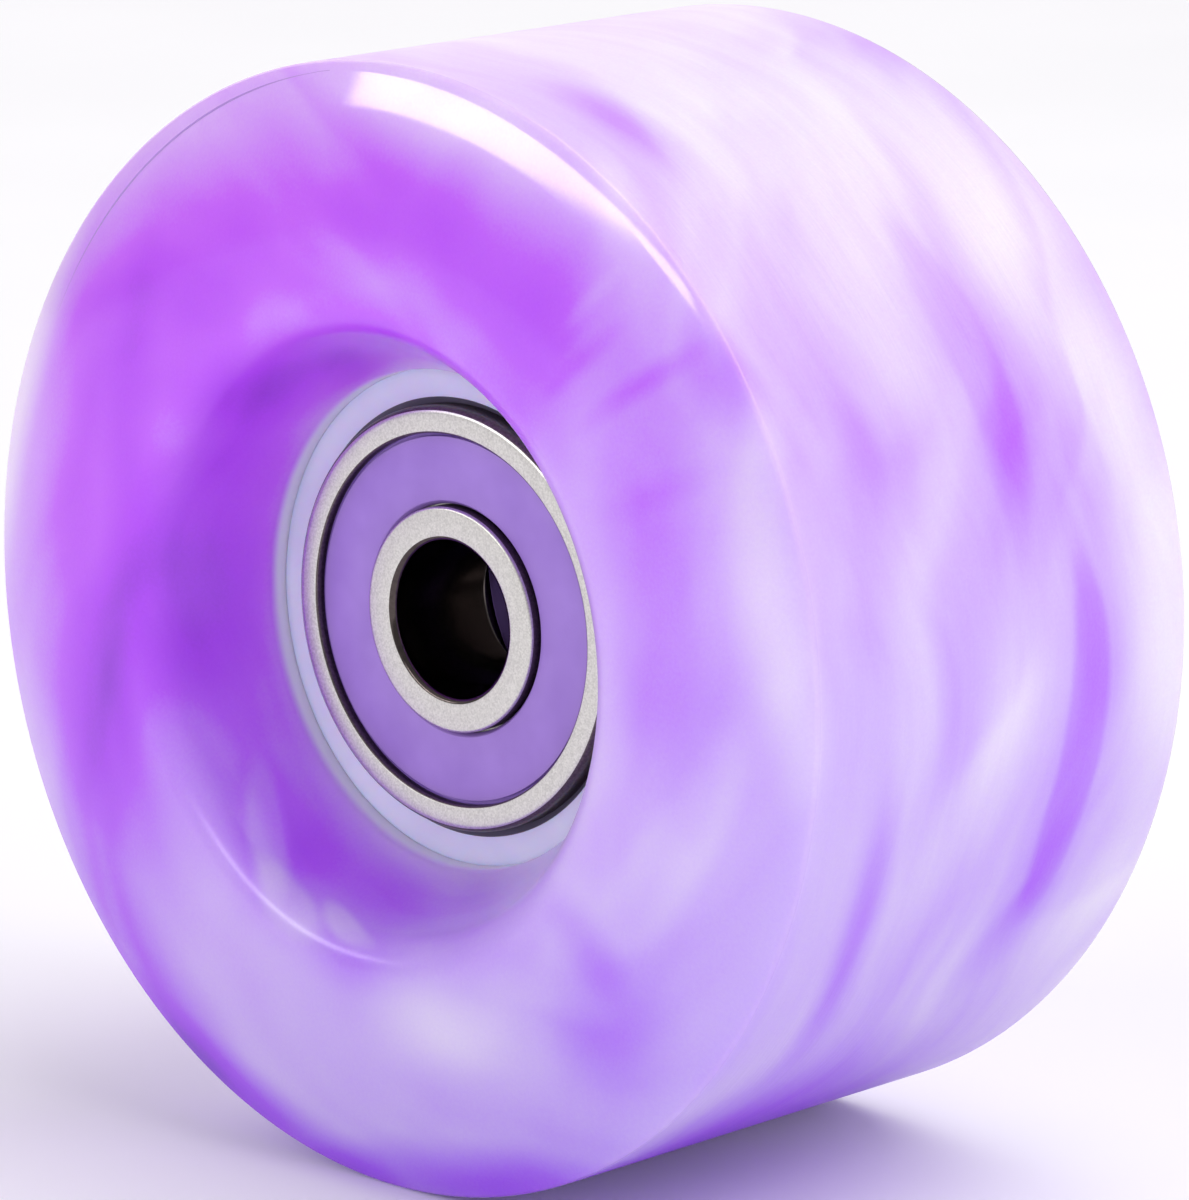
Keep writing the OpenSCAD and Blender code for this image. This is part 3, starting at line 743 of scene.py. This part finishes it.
def makeOuterRing():
    centre = pitchRadius - trackShift
    reach = math.degrees(math.acos((outerLand - centre) / trackRadius))
    half = arc((centre, 0), trackRadius, 0, reach, bearing["trackSteps"])
    half += [(outerLand, plateBack), (sealMouth, plateBack), (sealMouth, sealBack), (sealRim, sealBack),
             (sealRim, sealRimTop), (sealMouth, sealRimTop)]
    half += arc((sealMouth + mouthRound, halfBearing - mouthRound), mouthRound, 180, 90, bearing["faceSteps"])
    half += arc((bearingRadius - edgeRound, halfBearing - edgeRound), edgeRound, 90, 0, bearing["ringSteps"])
    half += [(bearingRadius, 0)]
    return turnRing("rear_bearing_outer_ring", half)


def makeInnerRing():
    centre = pitchRadius + trackShift
    boreRadius = bearing["bore"] / 2
    reach = math.degrees(math.acos((centre - innerLand) / trackRadius))
    half = [(boreRadius, 0)]
    half += arc((boreRadius + edgeRound, halfBearing - edgeRound), edgeRound, 180, 90, bearing["ringSteps"])
    half += arc((lipLand - mouthRound, halfBearing - mouthRound), mouthRound, 90, 0, bearing["faceSteps"])
    half += [(lipLand, cageBack), (innerLand, cageBack)]
    half += arc((centre, 0), trackRadius, 180 - reach, 180, bearing["trackSteps"])
    return turnRing("rear_bearing_inner_ring", half)


def makeSeal():
    lipRadius = lipLand + seal["lipGap"]
    slopeOut, slopeDown = seal["lipSlope"]
    grooveStart = sealMouth - seal["grooveWidth"]
    floor = sealBack + seal["grooveFloor"]
    points = [(lipRadius, sealBack), (lipRadius, sealTop - slopeDown), (lipRadius + slopeOut, sealTop),
              (grooveStart, sealTop), (grooveStart, floor), (sealMouth, floor),
              (sealMouth, sealRimTop), (sealRim, sealRimTop), (sealRim, sealBack)]
    points = [(r, bearingMiddle + y) for r, y in points]
    piece = turnOnLathe("rear_seal_rubber_outside", points + points[:1], bearing["turns"])
    applyModifier(piece, "BEVEL", width=seal["edgeRound"] * mm, segments=seal["roundSteps"],
                  limit_method="ANGLE", angle_limit=math.radians(seal["roundFromDeg"]))
    smoothPiece(piece, seal["creaseDeg"])
    return piece


wheelCentre = (0, 0, 0)
bearingCentre = {"rear": (0, bearingMiddle * mm, 0), "front": (0, -bearingMiddle * mm, 0)}
outerRings = {"rear": makeOuterRing()}
innerRings = {"rear": makeInnerRing()}
outsideSeals = {"rear": makeSeal()}
outerRings["front"] = halfTurnCopy(outerRings["rear"], "front_bearing_outer_ring", wheelCentre)
innerRings["front"] = halfTurnCopy(innerRings["rear"], "front_bearing_inner_ring", wheelCentre)
outsideSeals["front"] = halfTurnCopy(outsideSeals["rear"], "front_seal_rubber_outside", wheelCentre)
for side in ("front", "rear"):
    insideSeal = halfTurnCopy(outsideSeals[side], side + "_seal_rubber_inside", bearingCentre[side])
    fitPiece(insideSeal, sealRubber, "wheel", "seal_rubber", side + "_seal_inside")
    fitPiece(outsideSeals[side], sealRubber, "wheel", "seal_rubber", side + "_seal_outside")
    fitPiece(outerRings[side], ringSteel, "wheel", "ring_steel", side + "_outer_ring")
    # the rings' walls and rounds get a darker copy of the steel: painted shade
    finishWalls(outerRings[side], wallShadeSteel, sealMouth - bearing["wallMargin"], bearingRadius,
                bearing["wallLean"])
    fitPiece(innerRings[side], ringSteel, "inner_rings", "ring_steel", side + "_inner_ring")
    # the bore gets a nearly black copy of the steel: painted shade
    finishWalls(innerRings[side], boreShadeSteel, 0, bearing["bore"] / 2 + edgeRound, bearing["boreLean"])
    finishWalls(innerRings[side], wallShadeSteel, lipLand - bearing["wallMargin"], innerLand, uprightLean)
print("bearings turned and sealed")

# solids that stay as they are, inside the bearings
insideFinish = {"_cage": cageNylon, "_ball_": ballSteel, "_plate_": plateSteel}
for name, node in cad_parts.items():
    for part, material in insideFinish.items():
        if part in name:
            node.material_slots[0].material = material
print("balls, cages and plates finished")

# Floor, light and camera
studio = {"floorSize": 6, "floorColour": ("#faf9fb", "#fcfbfd"), "worldColour": "#fbf9fd",
          "worldStrength": 0.37}
lamps = [  # direction from the wheel in degrees, distance and size in metres, power in watts
    {"name": "topBackSoftbox", "azimuth": 140, "elevation": 66, "away": 0.9, "size": (0.9, 0.9),
     "watts": 5.0},  # the main light
    {"name": "leftStrip", "azimuth": -28, "elevation": 22.3, "away": 0.8, "size": (0.6, 0.065),
     "watts": 1.25},  # narrow, for a crisp line on the gloss
    {"name": "leftSoftbox", "azimuth": -40, "elevation": 25, "away": 1.2, "size": (1.6, 1.4), "watts": 1.5},
    {"name": "cameraFill", "azimuth": 43.6, "elevation": 12.7, "away": 0.9, "size": (0.1, 0.1), "watts": 1.7,
     "sheen": False},  # polarised, so that it lights the bore but leaves no spot on the gloss
    {"name": "rightFill", "azimuth": 100, "elevation": 35, "away": 0.9, "size": (0.6, 0.6), "watts": 1.3},
    {"name": "backRim", "azimuth": -116, "elevation": 22, "away": 1.0, "size": (1.0, 0.8), "watts": 2.5},
]
view = {"azimuth": 43.64, "elevation": 12.69, "awayMm": 368.4, "focalPixels": 7125, "image": (1189, 1200),
        "centrePixel": (578.7, 590.5), "sensor": 36, "clipStart": 0.01}


def towards(azimuth, elevation):
    a = math.radians(azimuth)
    e = math.radians(elevation)
    return Vector((math.sin(a) * math.cos(e), -math.cos(a) * math.cos(e), math.sin(e)))


def aimAtWheel(holder, azimuth, elevation, away):
    way = towards(azimuth, elevation)
    holder.location = way * away
    holder.rotation_euler = way.to_track_quat("Z", "Y").to_euler()


def makeFloor():
    bpy.ops.object.select_all(action="DESELECT")
    bpy.ops.mesh.primitive_plane_add(size=studio["floorSize"])
    floor = bpy.context.object
    floor.name = "studio_floor"
    bpy.ops.object.mode_set(mode="EDIT")
    bpy.ops.mesh.select_all(action="SELECT")
    bpy.ops.transform.translate(value=(0, 0, -treadRadius * mm))
    bpy.ops.object.mode_set(mode="OBJECT")
    board = moulded("paperBoardMatt", studio["floorColour"], roughness=(0.8, 0.9), grainMm=2, bump=0.05,
                    ior=1.5)  # even matt white, so that the shadow reads softly
    floor.data.materials.append(board)


def makeLamps():
    for lamp in lamps:
        light = bpy.data.lights.new(lamp["name"], "AREA")
        light.shape = "RECTANGLE"
        light.size, light.size_y = lamp["size"]
        light.energy = lamp["watts"]
        holder = bpy.data.objects.new(lamp["name"], light)
        bpy.context.collection.objects.link(holder)
        aimAtWheel(holder, lamp["azimuth"], lamp["elevation"], lamp["away"])
        holder.visible_glossy = lamp.get("sheen", True)


def makeWorld():  # light from all round, as in a white room
    world = bpy.data.worlds.new("softStudio")
    world.use_nodes = True
    sky = world.node_tree.nodes["Background"]
    sky.inputs["Color"].default_value = linear(studio["worldColour"])
    sky.inputs["Strength"].default_value = studio["worldStrength"]
    bpy.context.scene.world = world


def makeCamera():
    camera = bpy.data.cameras.new("photoCamera")
    width, height = view["image"]
    camera.sensor_fit = "VERTICAL"
    camera.sensor_height = view["sensor"]
    camera.lens = view["focalPixels"] / height * view["sensor"]
    camera.shift_x = (width / 2 - view["centrePixel"][0]) / height
    camera.shift_y = (view["centrePixel"][1] - height / 2) / height
    camera.clip_start = view["clipStart"]
    holder = bpy.data.objects.new("photoCamera", camera)
    bpy.context.collection.objects.link(holder)
    aimAtWheel(holder, view["azimuth"], view["elevation"], view["awayMm"] * mm)
    bpy.context.scene.camera = holder


makeFloor()
makeLamps()
makeWorld()
makeCamera()
print("floor, lamps and camera set")
